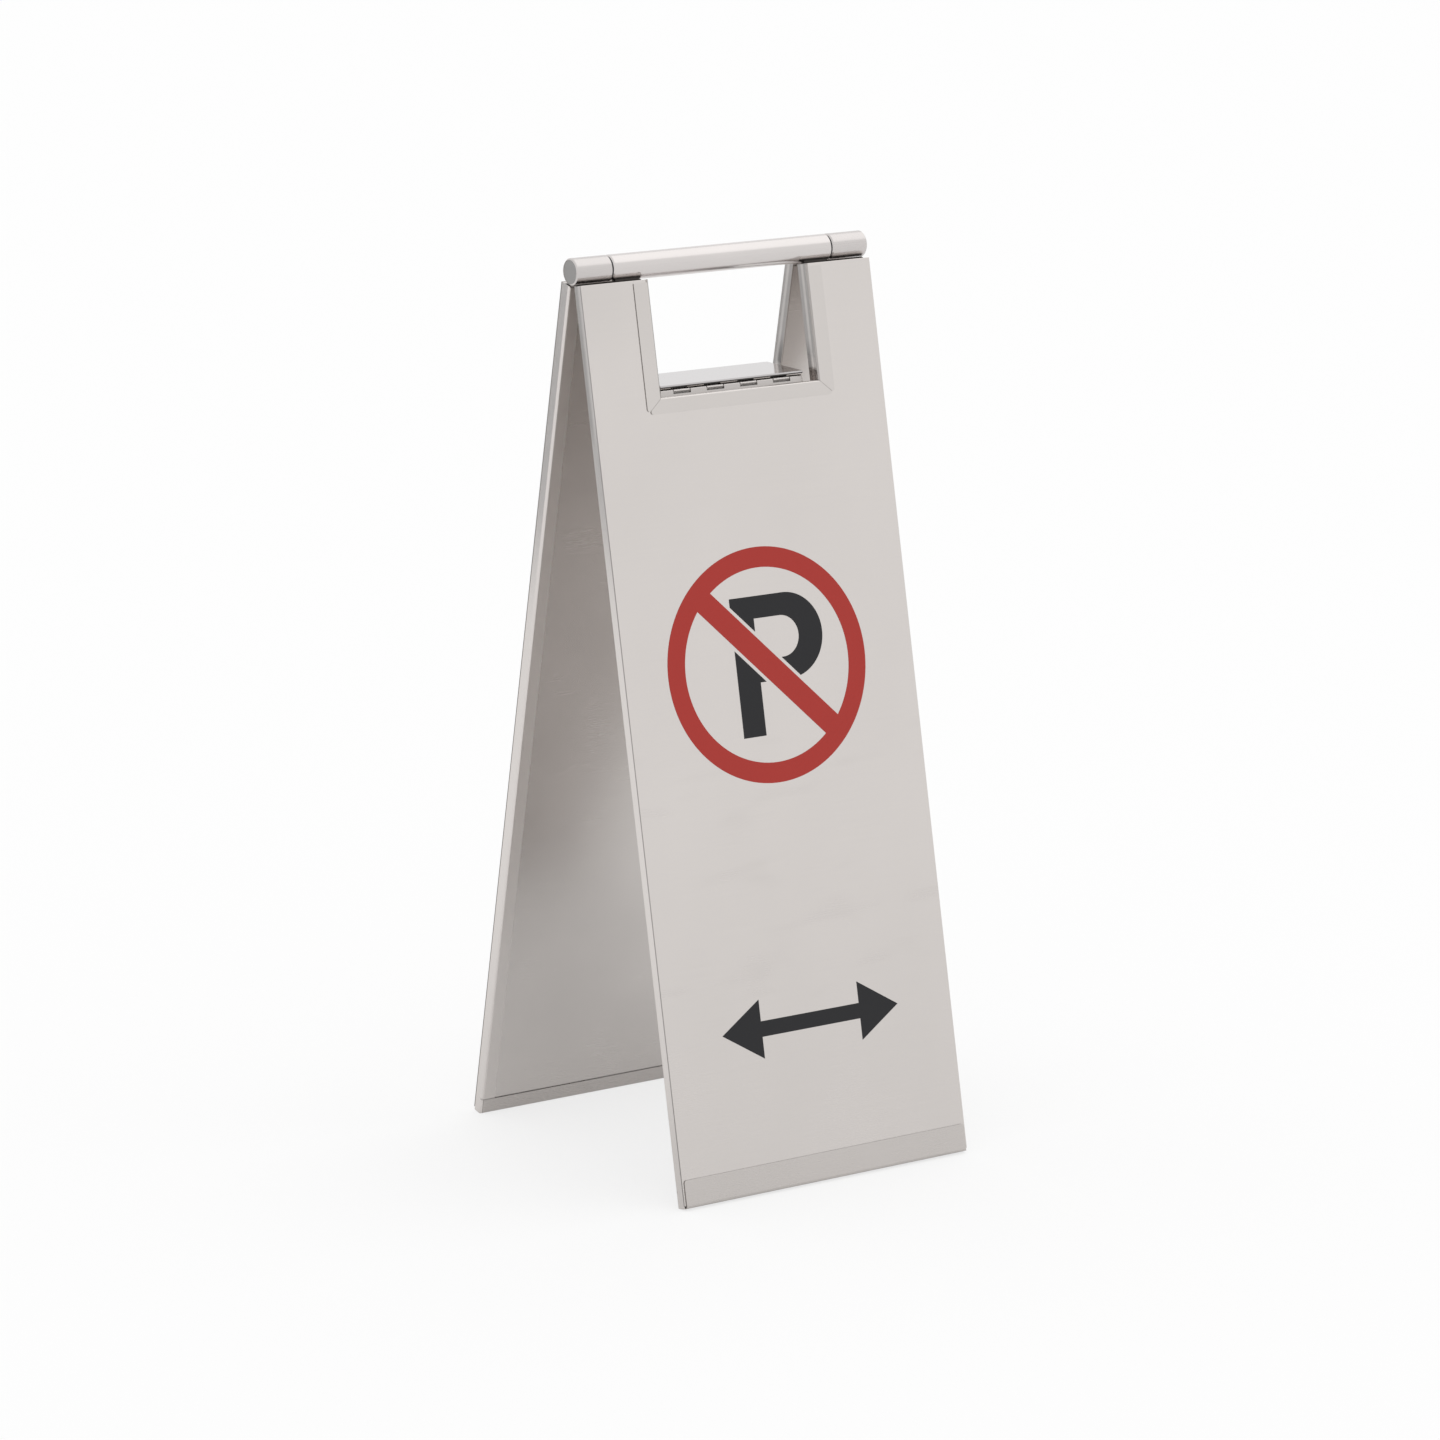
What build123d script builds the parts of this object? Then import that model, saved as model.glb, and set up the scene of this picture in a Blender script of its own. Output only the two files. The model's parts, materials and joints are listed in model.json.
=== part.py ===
from build123d import *
from math import cos, radians, sin
import os

# Folding floor sign: two hollow leaves of bent sheet steel that hang on one carrying tube, with a small
# stay plate in the hand window that keeps them apart. Millimetres, +Z up, the tube along X, the printed
# front facing -Y, and the origin on the floor at the centre. On a leaf, "drop" is the distance below the
# tube's axis along the leaf, and the distance out from the leaf's middle plane is measured along its normal.

# Leaves
panel_width = 220.0
leg_length = 593.7  # tube axis to the bottom edge, along the leaf
panel_depth = 9.3  # inner face to outer face
skin = 0.8  # sheet of the tray and of the flat face sheet that make a leaf
bend_radius = 2.0  # outside radius of every bend in the tray and the hem
edge_round = 0.4  # softened edges of the face sheet
seam_gap = 0.35  # dark line left open between the tray's rim and the face sheet
panel_rim = 9.5  # flat left along each side of the tray, beside its pressed panel
panel_step = 0.5  # how far the panel is pressed in
panel_below_sill = 20.0
half_spread = 11.58  # lean of each leaf when open, degrees
fold_gap = 1.0  # between the two inner faces when folded
butt_gap = 0.2  # hairline left between sheets that meet edge to edge

# Hand window, with a folded trim round its edge
shoulder_width = 50.0  # from the side of the leaf to the window
sill_drop = 84.3
trim_sheet = 0.6
trim_bend = 1.6
jamb_flange = 11.5
sill_flange = 10.0
trim_tip_radius = 1.5

# Hem channel that closes the bottom of a leaf
hem_sheet = 0.7
hem_outer_leg = 18.2
hem_inner_leg = 10.4
hem_inset = 1.2  # from the leaf's side edges
hem_corner_radius = 2.0

# Stiffening channels hidden between the tray and the face sheet
stiffener_sheet = 0.8
stiffener_flange = 14.0
stiffener_spacing = 110.0
stiffener_bend = 1.6
stiffener_end_clearance = 6.0  # to the pressed panel's upper edge and to the hem

# Carrying tube, which is also the main hinge
tube_diameter = 17.2
tube_wall = 1.5
tube_overhang = 0.8  # past each side of the leaves
tube_to_panel = 0.86  # between the tube and the top of a leaf
tube_chamfer = 0.8
end_knuckle_length = 27.0
knuckle_gap = 0.8
knuckle_end_play = 0.3
rod_diameter = 10.0
running_clearance = 0.05
seat_clearance = 0.02  # round seats inside one body
bush_length = 20.0
plug_length = 18.0
plug_recess = 0.3
plug_head = 2.0  # length of a plug's wider head
plug_rim = 1.0  # tube wall left round the head
plug_floor = 4.0  # metal left past the end of the rod

# Straps that carry the leaves on the tube
strap_margin = 2.2  # on each side of a strap
strap_thickness = 3.0
strap_length = 46.0
strap_clearance = 0.2
weld_gap = 0.1

# Stay plate and its knuckle hinge in the window
stay_side_gap = 5.7  # between the stay and each jamb
stay_sheet = 1.0
knuckle_pitch = 12.7
knuckle_side_gap = 0.6
hinge_sheet = 0.7
hinge_pin_diameter = 2.5
hinge_clearance = 0.6  # between the knuckles of one leaf and the other leaf
stay_lift = 1.0  # between the hinge barrel and the moving leaf above it
curl_end = 17.0  # degrees above the front of the pin, where a moving knuckle's curl ends
curl_opening = 92.0  # degrees of the pin left bare below that end
fixed_leaf_length = 20.0
moving_leaf_length = 19.0
barrel_to_sill = 0.95  # between the hinge barrel and the sill
catch_thickness = 2.0
catch_to_barrel = 1.0  # between the catch bar and the barrel when folded
catch_end_gap = 12.0  # between the catch bar and each jamb
stay_rest_gap = 0.2  # between the stay and the catch bar
lip_clearance = 0.6
rivet_diameter = 3.0
rivet_land = 0.1  # straight part of a rivet's hole below its countersink
rivet_tail = 0.9
rivet_count = 4
rivet_end_margin = 9.3  # from an end of the hinge leaf to the first rivet
rivet_edge_margin = 6.7  # from the free edge of the fixed leaf to the rivets
countersink_angle = 90.0

# Printed marks, as thin film on the outer faces
film = 0.12
ring_offset = -2.8
ring_drop = 260.7
ring_radius = 75.5
ring_stroke = 13.1
bar_width = 15.2
bar_angle = -45.4
bar_offset = 0.85  # from the ring's centre to the bar's middle line
letter_left = -23.8  # from the ring's centre
letter_top = 44.6  # above the ring's centre
letter_height = 89.2
letter_stem = 17.1
letter_stroke = 14.3
letter_bowl_height = 55.2
letter_bowl_reach = 68.2
letter_bowl_stroke = 18.2
letter_bar_gap = 2.2
arrow_drop = 490.0
arrow_length = 136.0
arrow_head_length = 30.0
arrow_head_width = 38.0
arrow_shaft = 10.0

# Places worked out from the sizes above
lean_sin = sin(radians(half_spread))
lean_cos = cos(radians(half_spread))
inner_face = fold_gap / 2
outer_face = inner_face + panel_depth
sheet_underside = outer_face - skin
pressed_width = panel_width - 2 * panel_rim
panel_start = sill_drop + panel_below_sill
pressed_inside = inner_face + panel_step + skin
tube_radius = tube_diameter / 2
tube_bore = tube_radius - tube_wall
tube_half = panel_width / 2 + tube_overhang
middle_half = tube_half - end_knuckle_length - knuckle_gap
rod_radius = rod_diameter / 2
plug_seat_radius = tube_radius - plug_rim
panel_top = tube_radius + tube_to_panel
half_window = panel_width / 2 - shoulder_width
window_width = 2 * half_window
hem_half = panel_width / 2 - hem_inset
strap_seat = inner_face + skin
# The rounded inner bottom edge of each leaf stands on the floor.
axis_height = (leg_length - bend_radius) * lean_cos - (inner_face + bend_radius) * lean_sin + bend_radius

# Leaf planes: x along the tube, y up the leaf, z outward.
front = Plane(origin=(0, 0, axis_height), x_dir=(1, 0, 0), z_dir=(0, -lean_cos, lean_sin))
back = Plane(origin=(0, 0, axis_height), x_dir=(-1, 0, 0), z_dir=(0, lean_cos, lean_sin))

# Stay hinge: its barrel lies against the front leaf's inner face, just above the sill.
hinge_pin_radius = hinge_pin_diameter / 2
hinge_bore = hinge_pin_radius + running_clearance
barrel_radius = hinge_bore + hinge_sheet
pin_drop = sill_drop - barrel_to_sill - barrel_radius
pin_out = inner_face - barrel_radius
pin_y = -pin_drop * lean_sin - pin_out * lean_cos
pin_z = axis_height - pin_drop * lean_cos + pin_out * lean_sin
stay_underside = pin_z + barrel_radius + stay_lift + hinge_sheet
# Catch bar on the back sill, clear of the barrel when the sign is folded flat.
catch_in = 2 * barrel_radius - inner_face + catch_to_barrel
catch_out = catch_in + catch_thickness
catch_drop = (axis_height - stay_underside + stay_rest_gap + catch_out * lean_sin) / lean_cos
lip_y = sill_drop * lean_sin + catch_out * lean_cos + lip_clearance
stay_back = lip_y + stay_sheet
sill_under_lip = (stay_back - sill_drop * lean_sin) / lean_cos
lip_bottom = axis_height - sill_drop * lean_cos + sill_under_lip * lean_sin + lip_clearance
stay_front = pin_y - barrel_radius
stay_width = window_width - 2 * stay_side_gap
catch_length = window_width - 2 * catch_end_gap
# Knuckles of the moving leaf stand two pitches apart, and at least half a pitch is left at each end.
moving_knuckles = int(stay_width / (2 * knuckle_pitch))
rivet_radius = rivet_diameter / 2
rivet_head_radius = rivet_radius + hinge_sheet - rivet_land


def axis_of(direction):
    """Line through the tube's centre, for picking faces and edges by their place."""
    return Axis((0, 0, axis_height), tuple(direction))


def across(leaf, drop):
    """Plane that cuts a leaf square to its length: x along the tube, y outward, extruding down the leaf."""
    return Plane(origin=leaf.from_local_coords((0, -drop, 0)), x_dir=leaf.x_dir, z_dir=-leaf.y_dir)


def endwise(leaf):
    """Plane that cuts a leaf along its middle: x down the leaf, y outward."""
    return Plane(origin=leaf.origin, x_dir=-leaf.y_dir, z_dir=-leaf.x_dir)


def tube_plane(x):
    """Plane square to the tube at x."""
    return Plane(origin=(x, 0, axis_height), x_dir=(0, 1, 0), z_dir=(1, 0, 0))


def pin_plane(x):
    """Plane square to the stay's hinge pin at x."""
    return Plane(origin=(x, pin_y, pin_z), x_dir=(0, 1, 0), z_dir=(1, 0, 0))


def middle(span):
    """Middle of a span along the tube."""
    return (span[0] + span[1]) / 2


def strap_width(room):
    """Width of a strap that leaves a margin on each side of its room."""
    return room[1] - room[0] - 2 * strap_margin


def save(piece, name):
    """Label a finished piece and write it."""
    piece.part.label = name
    export_step(piece.part, f"parts/{name}.step")


def inner_tray(leaf, strap_room, name):
    """Sheet tray with rounded bends: its flat lies inside, its rim stops short of the face sheet."""
    outward = axis_of(leaf.z_dir)
    depth = sheet_underside - seam_gap - inner_face
    margin = trim_sheet + butt_gap
    hem_start = leg_length - hem_inner_leg - butt_gap
    with BuildPart() as tray:
        with BuildSketch(leaf.offset(inner_face)):
            with Locations((0, -(panel_top + leg_length) / 2)):
                Rectangle(panel_width, leg_length - panel_top)
        extrude(amount=depth)
        bends = tray.faces().sort_by(outward)[0].edges().sort_by(axis_of(leaf.y_dir))[1:]
        fillet(bends, radius=bend_radius)
        foot = tray.faces().sort_by(axis_of(leaf.y_dir))[0]
        offset(amount=-skin, openings=[tray.faces().sort_by(outward)[-1], foot])
        # Panel pressed in between the side rims, from below the window to the hem
        with BuildSketch(leaf.offset(inner_face + skin)):
            with Locations((0, -(panel_start - skin + hem_start) / 2)):
                Rectangle(pressed_width + 2 * skin, hem_start - panel_start + skin)
        extrude(amount=panel_step)
        with BuildSketch(leaf.offset(inner_face)):
            with Locations((0, -(panel_start + hem_start) / 2)):
                Rectangle(pressed_width, hem_start - panel_start)
        extrude(amount=panel_step, mode=Mode.SUBTRACT)
        # Side walls rounded at the floor
        with BuildSketch(endwise(leaf)):
            with Locations((leg_length - bend_radius / 2, inner_face + bend_radius / 2)):
                Rectangle(bend_radius, bend_radius)
            with Locations((leg_length - bend_radius, inner_face + bend_radius)):
                Circle(bend_radius, mode=Mode.SUBTRACT)
        extrude(amount=panel_width / 2, both=True, mode=Mode.SUBTRACT)
        # Window, open at the top
        with BuildSketch(leaf.offset(inner_face)):
            with Locations((0, -(sill_drop + margin) / 2)):
                Rectangle(window_width + 2 * margin, sill_drop + margin)
        extrude(amount=depth, mode=Mode.SUBTRACT)
        # Room for the hem channel between the side walls
        with BuildSketch(leaf.offset(inner_face)):
            with Locations((0, -(hem_start + leg_length) / 2)):
                Rectangle(2 * hem_half + butt_gap, leg_length - hem_start)
        extrude(amount=depth, mode=Mode.SUBTRACT)
        # Slots in the top wall for the straps
        slot_out = strap_seat + strap_thickness / 2
        slot_width = strap_width(strap_room) + 2 * strap_clearance
        with BuildSketch(across(leaf, panel_top)):
            with Locations((-middle(strap_room), slot_out), (middle(strap_room), slot_out)):
                Rectangle(slot_width, strap_thickness + 2 * strap_clearance)
        extrude(amount=bend_radius, mode=Mode.SUBTRACT)
        if leaf is front:
            with Locations(rivet_places()):
                Hole(rivet_radius + seat_clearance, depth=skin)
    save(tray, name)


def face_sheet(leaf, name):
    """Flat outer sheet with softened edges, over the tray's rim and under the hem's tall leg."""
    foot = leg_length - bend_radius
    with BuildPart() as sheet:
        with BuildSketch(leaf.offset(sheet_underside)):
            with Locations((0, -(panel_top + foot) / 2)):
                Rectangle(panel_width, foot - panel_top)
        extrude(amount=skin)
        outside = sheet.faces().sort_by(axis_of(leaf.z_dir))[-1]
        fillet(outside.edges().sort_by(axis_of(leaf.y_dir))[1:], radius=edge_round)
        # Window, open at the top
        with BuildSketch(leaf.offset(sheet_underside)):
            with Locations((0, -(sill_drop + trim_bend) / 2)):
                Rectangle(window_width + 2 * trim_bend, sill_drop + trim_bend)
        extrude(amount=skin, mode=Mode.SUBTRACT)
    save(sheet, name)


def hem_channel(leaf, name):
    """Channel that closes the bottom, its tall leg lapped over the outer face, its short leg flush inside."""
    outer = outer_face + hem_sheet
    with BuildPart() as hem:
        with BuildSketch(endwise(leaf)):
            with BuildLine():
                FilletPolyline(
                    (leg_length - hem_outer_leg, outer),
                    (leg_length, outer),
                    (leg_length, inner_face),
                    (leg_length - hem_inner_leg, inner_face),
                    radius=bend_radius,
                )
                offset(amount=hem_sheet, side=Side.RIGHT)
            make_face()
        extrude(amount=hem_half, both=True)
        corners = hem.edges().filter_by(axis_of(leaf.z_dir)).sort_by(axis_of(leaf.y_dir))[-2:]
        fillet(corners, radius=hem_corner_radius)
    save(hem, name)


def mitre(lift, side, below):
    """Triangle below or above the mitre line, which runs from the window's corner to well past the trim."""
    corner = (side * half_window, lift - sill_drop)
    far = (corner[0] + side * 2 * jamb_flange, corner[1] - 2 * sill_flange)
    if below:
        third = (corner[0] - side * trim_sheet, far[1])
    else:
        third = (far[0], corner[1] + trim_sheet)
    Polygon(corner, far, third)


def sill_trim(leaf, name):
    """Angle trim along the bottom of the window, mitred at both ends."""
    outer = outer_face + trim_sheet
    with BuildPart() as trim:
        with BuildSketch(endwise(leaf)):
            with BuildLine():
                FilletPolyline(
                    (sill_drop + sill_flange, outer),
                    (sill_drop, outer),
                    (sill_drop, inner_face),
                    radius=trim_bend,
                )
                offset(amount=trim_sheet, side=Side.LEFT)
            make_face()
        extrude(amount=half_window + jamb_flange, both=True)
        with BuildSketch(leaf.offset(inner_face)):
            for side in (-1, 1):
                mitre(0, side, below=False)
        extrude(amount=panel_depth + trim_sheet, mode=Mode.SUBTRACT)
        tips = trim.edges().filter_by(axis_of(leaf.z_dir)).sort_by(axis_of(leaf.y_dir))[:2]
        fillet(tips, radius=trim_tip_radius)
    save(trim, name)


def jamb_trims(leaf, left_name, right_name):
    """Angle trims up the sides of the window, mitred at the bottom, the left one mirrored from the right."""
    outer = outer_face + trim_sheet
    foot = sill_drop + sill_flange
    with BuildPart() as right_trim:
        with BuildSketch(across(leaf, panel_top)):
            with BuildLine():
                FilletPolyline(
                    (half_window + jamb_flange, outer),
                    (half_window, outer),
                    (half_window, inner_face),
                    radius=trim_bend,
                )
                offset(amount=trim_sheet, side=Side.LEFT)
            make_face()
        extrude(amount=foot - panel_top)
        with BuildSketch(leaf.offset(inner_face)):
            mitre(butt_gap, 1, below=True)
        extrude(amount=panel_depth + trim_sheet, mode=Mode.SUBTRACT)
        # The flange starts below the rounded top of the leaf.
        flat_width = jamb_flange - trim_bend
        with BuildSketch(leaf.offset(outer_face)):
            with Locations((half_window + trim_bend + flat_width / 2, -panel_top - bend_radius / 2)):
                Rectangle(flat_width, bend_radius)
        extrude(amount=trim_sheet, mode=Mode.SUBTRACT)
        tip = right_trim.edges().filter_by(axis_of(leaf.z_dir)).sort_by(axis_of(leaf.y_dir))[0]
        fillet(tip, radius=trim_tip_radius)
    save(right_trim, right_name)
    with BuildPart() as left_trim:
        mirror(right_trim.part, about=Plane(origin=leaf.origin, x_dir=leaf.y_dir, z_dir=leaf.x_dir))
    save(left_trim, left_name)


def stiffener(leaf, place, name):
    """Channel that holds the face sheet off the pressed panel, between the window and the hem."""
    start = panel_start + stiffener_end_clearance
    end = leg_length - hem_outer_leg - stiffener_end_clearance
    near = pressed_inside
    far = sheet_underside
    web = place - stiffener_flange / 2
    tip = place + stiffener_flange / 2
    with BuildPart() as channel:
        with BuildSketch(across(leaf, start)):
            with BuildLine():
                FilletPolyline((tip, near), (web, near), (web, far), (tip, far), radius=stiffener_bend)
                offset(amount=stiffener_sheet, side=Side.RIGHT)
            make_face()
        extrude(amount=end - start)
    save(channel, name)


def strap(leaf, side, room, name):
    """Flat strap that lies inside a leaf, passes its top wall and meets the tube in a hollowed end."""
    with BuildPart() as bar:
        with BuildSketch(leaf.offset(strap_seat)):
            with Locations((side * middle(room), -strap_length / 2)):
                Rectangle(strap_width(room), strap_length)
        extrude(amount=strap_thickness)
        with BuildSketch(tube_plane(0)):
            Circle(tube_radius + weld_gap)
        extrude(amount=tube_half, both=True, mode=Mode.SUBTRACT)
    save(bar, name)


def ring_film(leaf, name):
    """Ring with a slanted bar across it."""
    with BuildPart() as mark:
        with BuildSketch(leaf.offset(outer_face)):
            with Locations((ring_offset, -ring_drop)):
                Circle(ring_radius)
                Circle(ring_radius - ring_stroke, mode=Mode.SUBTRACT)
            with Locations(Location((ring_offset, -ring_drop, 0), (0, 0, bar_angle))):
                with Locations((0, bar_offset)):
                    Rectangle(2 * ring_radius - ring_stroke, bar_width)
        extrude(amount=film)
    save(mark, name)


def letter_film(leaf, name):
    """Block letter inside the ring: a stem and a round bowl, parted by a clear gap along the bar."""
    centre = leaf.from_local_coords((ring_offset, -ring_drop, outer_face))
    ring_plane = Plane(origin=centre, x_dir=leaf.x_dir, z_dir=leaf.z_dir)
    bowl_radius = letter_bowl_height / 2
    bowl_middle = letter_top - bowl_radius
    bowl_end = letter_left + letter_bowl_reach - bowl_radius
    counter_radius = bowl_radius - letter_stroke
    counter_end = letter_left + letter_bowl_reach - letter_bowl_stroke - counter_radius
    counter_start = letter_left + letter_stem
    clear_width = bar_width + 2 * letter_bar_gap
    with BuildPart() as mark:
        with BuildSketch(ring_plane):
            with Locations((letter_left + letter_stem / 2, letter_top - letter_height / 2)):
                Rectangle(letter_stem, letter_height)
            with Locations((middle((letter_left, bowl_end)), bowl_middle)):
                Rectangle(bowl_end - letter_left, letter_bowl_height)
            with Locations((bowl_end, bowl_middle)):
                Circle(bowl_radius)
            with Locations((middle((counter_start, counter_end)), bowl_middle)):
                Rectangle(counter_end - counter_start, 2 * counter_radius, mode=Mode.SUBTRACT)
            with Locations((counter_end, bowl_middle)):
                Circle(counter_radius, mode=Mode.SUBTRACT)
            with Locations(Location((0, 0, 0), (0, 0, bar_angle))):
                with Locations((0, bar_offset)):
                    Rectangle(2 * ring_radius, clear_width, mode=Mode.SUBTRACT)
        extrude(amount=film)
    save(mark, name)


def arrow_film(leaf, name):
    """Plain double arrow near the bottom."""
    tip = arrow_length / 2
    neck = tip - arrow_head_length
    barb = arrow_head_width / 2
    with BuildPart() as mark:
        with BuildSketch(leaf.offset(outer_face)):
            with Locations((0, -arrow_drop)):
                Rectangle(2 * neck, arrow_shaft)
                for side in (-1, 1):
                    Polygon((side * tip, 0), (side * neck, barb), (side * neck, -barb))
        extrude(amount=film)
    save(mark, name)


def tube_piece(start, end, name, plug_side=0):
    """Length of the carrying tube, with its outer ends broken. An end piece has a seat for a plug's head."""
    with BuildPart() as tube:
        with BuildSketch(tube_plane(start)):
            Circle(tube_radius)
            Circle(tube_bore, mode=Mode.SUBTRACT)
        extrude(amount=end - start)
        rims = tube.edges().filter_by(GeomType.CIRCLE).sort_by(SortBy.RADIUS)[-2:]
        chamfer(rims, length=tube_chamfer)
        if plug_side:
            with BuildSketch(tube_plane(plug_side * tube_half)):
                Circle(plug_seat_radius)
            extrude(amount=-plug_side * (plug_recess + plug_head), mode=Mode.SUBTRACT)
    save(tube, name)


def bush(side, name):
    """Plain bearing in the end of the middle tube, its thin flange in the gap between the tube's pieces."""
    with BuildPart() as bearing:
        with BuildSketch(tube_plane(side * middle_half)):
            Circle(tube_bore - seat_clearance)
        extrude(amount=-side * bush_length)
        with BuildSketch(tube_plane(side * middle_half)):
            Circle(tube_radius - tube_chamfer)
        extrude(amount=side * (knuckle_gap - knuckle_end_play))
        with BuildSketch(tube_plane(0)):
            Circle(rod_radius + running_clearance)
        extrude(amount=tube_half, both=True, mode=Mode.SUBTRACT)
    save(bearing, name)


def end_plug(side, name):
    """Headed plug in the outer end of an end knuckle, blind bored for the rod."""
    face = tube_half - plug_recess
    with BuildPart() as plug:
        with BuildSketch(tube_plane(side * face)):
            Circle(tube_bore - seat_clearance)
        extrude(amount=-side * plug_length)
        with BuildSketch(tube_plane(side * face)):
            Circle(plug_seat_radius - seat_clearance)
        extrude(amount=-side * (plug_head - seat_clearance))
        with BuildSketch(tube_plane(side * (face - plug_floor))):
            Circle(rod_radius + seat_clearance)
        extrude(amount=-side * plug_length, mode=Mode.SUBTRACT)
    save(plug, name)


def hinge_rod(name):
    """Rod through the tube, from plug to plug."""
    half = tube_half - plug_recess - plug_floor - seat_clearance
    with BuildPart() as rod:
        with BuildSketch(tube_plane(0)):
            Circle(rod_radius)
        extrude(amount=half, both=True)
    save(rod, name)


def moving_spans():
    """Start and end along X of each knuckle of the moving leaf."""
    centres = [(2 * n - moving_knuckles + 1) * knuckle_pitch for n in range(moving_knuckles)]
    return [(centre - knuckle_pitch / 2, centre + knuckle_pitch / 2) for centre in centres]


def fixed_spans():
    """Start and end along X of each knuckle of the fixed leaf, which fill what the moving ones leave."""
    edges = [-stay_width / 2, *[edge for span in moving_spans() for edge in span], stay_width / 2]
    return list(zip(edges[::2], edges[1::2]))


def rivet_places():
    """Places of the rivets along the fixed hinge leaf, on the front leaf's inner face, heads outward."""
    drop = pin_drop + fixed_leaf_length - rivet_edge_margin
    middle_rivet = front.from_local_coords((0, -drop, inner_face))
    plane = Plane(origin=middle_rivet, x_dir=front.x_dir, z_dir=-front.z_dir)
    first = rivet_end_margin - stay_width / 2
    spacing = -2 * first / (rivet_count - 1)
    return [plane * Location((first + n * spacing, 0, 0)) for n in range(rivet_count)]


def add_barrel(spans):
    """Join round knuckles on the hinge line to the piece being made, each a little short of its span."""
    for span in spans:
        with Locations(pin_plane(middle(span))):
            Cylinder(barrel_radius, span[1] - span[0] - knuckle_side_gap)


def clear_barrel(spans):
    """Cut room for the other leaf's knuckles, and bore the hinge line."""
    for span in spans:
        with Locations(pin_plane(middle(span))):
            room = span[1] - span[0] + knuckle_side_gap
            Cylinder(barrel_radius + hinge_clearance, room, mode=Mode.SUBTRACT)
    with Locations(pin_plane(0)):
        Cylinder(hinge_bore, stay_width, mode=Mode.SUBTRACT)


def fixed_hinge_leaf(name):
    """Hinge leaf riveted to the front leaf's inner face below the sill."""
    with BuildPart() as leaf:
        with BuildSketch(front.offset(inner_face)):
            with Locations((0, -pin_drop - fixed_leaf_length / 2)):
                Rectangle(stay_width, fixed_leaf_length)
        extrude(amount=-hinge_sheet)
        add_barrel(fixed_spans())
        clear_barrel(moving_spans())
        with Locations([place * Location((0, 0, hinge_sheet)) for place in rivet_places()]):
            CounterSinkHole(
                radius=rivet_radius + seat_clearance,
                counter_sink_radius=rivet_head_radius + seat_clearance,
                depth=hinge_sheet,
                counter_sink_angle=countersink_angle,
            )
    save(leaf, name)


def leaf_rivets(name):
    """Flush rivets that hold the fixed hinge leaf, with a formed head inside the leaf."""
    with BuildPart() as rivet:
        with BuildSketch(Plane.XZ):
            Polygon(
                (0, hinge_sheet),
                (rivet_head_radius, hinge_sheet),
                (rivet_radius, rivet_land),
                (rivet_radius, -skin),
                (rivet_head_radius, -skin),
                (rivet_head_radius, -skin - rivet_tail),
                (0, -skin - rivet_tail),
            )
        revolve(axis=Axis.Z)
    with BuildPart() as rivets:
        with Locations(rivet_places()):
            add(rivet.part)
    save(rivets, name)


def hinge_pin(name):
    """Pin of the stay's hinge."""
    with BuildPart() as pin:
        with BuildSketch(pin_plane(0)):
            Circle(hinge_pin_radius)
        extrude(amount=stay_width / 2, both=True)
    save(pin, name)


def curl_mouth():
    """Corners, across the pin, of the opening below the end of a moving knuckle's curl."""
    reach = 2 * barrel_radius
    rise = radians(curl_end)
    fall = radians(curl_opening - curl_end)
    upper = (-reach * cos(rise), reach * sin(rise))
    lower = (-reach * cos(fall), -reach * sin(fall))
    return (0, 0), upper, (-reach, -reach), lower


def moving_hinge_leaf(name):
    """Hinge leaf under the stay plate. Its curled knuckles are open at the front, where the pin shows."""
    with BuildPart() as leaf:
        with BuildSketch(Plane.XY.offset(stay_underside)):
            with Locations((0, stay_front + moving_leaf_length / 2)):
                Rectangle(stay_width, moving_leaf_length)
        extrude(amount=-hinge_sheet)
        add_barrel(moving_spans())
        # Necks behind the pin, from the curls up to the leaf
        neck_rise = stay_underside - pin_z
        for span in moving_spans():
            with BuildSketch(pin_plane(span[0] + knuckle_side_gap / 2)):
                with Locations((barrel_radius - hinge_sheet / 2, neck_rise / 2)):
                    Rectangle(hinge_sheet, neck_rise)
            extrude(amount=span[1] - span[0] - knuckle_side_gap)
        clear_barrel(fixed_spans())
        with BuildSketch(pin_plane(0)):
            Polygon(*curl_mouth())
        extrude(amount=stay_width / 2, both=True, mode=Mode.SUBTRACT)
    save(leaf, name)


def stay_plate(name):
    """Plate across the window, with a lip turned down behind the catch bar."""
    with BuildPart() as plate:
        with BuildSketch(Plane.YZ):
            with BuildLine():
                FilletPolyline(
                    (stay_front, stay_underside + stay_sheet),
                    (stay_back, stay_underside + stay_sheet),
                    (stay_back, lip_bottom),
                    radius=stay_sheet + lip_clearance / 2,
                )
                offset(amount=stay_sheet, side=Side.RIGHT)
            make_face()
        extrude(amount=stay_width / 2, both=True)
    save(plate, name)


def catch_bar(name):
    """Flat bar on edge on the back sill, which the stay's lip drops behind."""
    with BuildPart() as bar:
        with BuildSketch(back.offset(catch_in)):
            with Locations((0, -(catch_drop + sill_drop) / 2)):
                Rectangle(catch_length, sill_drop - catch_drop)
        extrude(amount=catch_thickness)
    save(bar, name)


os.makedirs("parts", exist_ok=True)

# Straps of the front leaf lie between the window and the end of the middle tube, those of the back leaf
# between the start of an end knuckle and the side of the leaf.
strap_rooms = {
    "front": (half_window + trim_sheet, middle_half),
    "back": (tube_half - end_knuckle_length, panel_width / 2 - skin),
}

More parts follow.
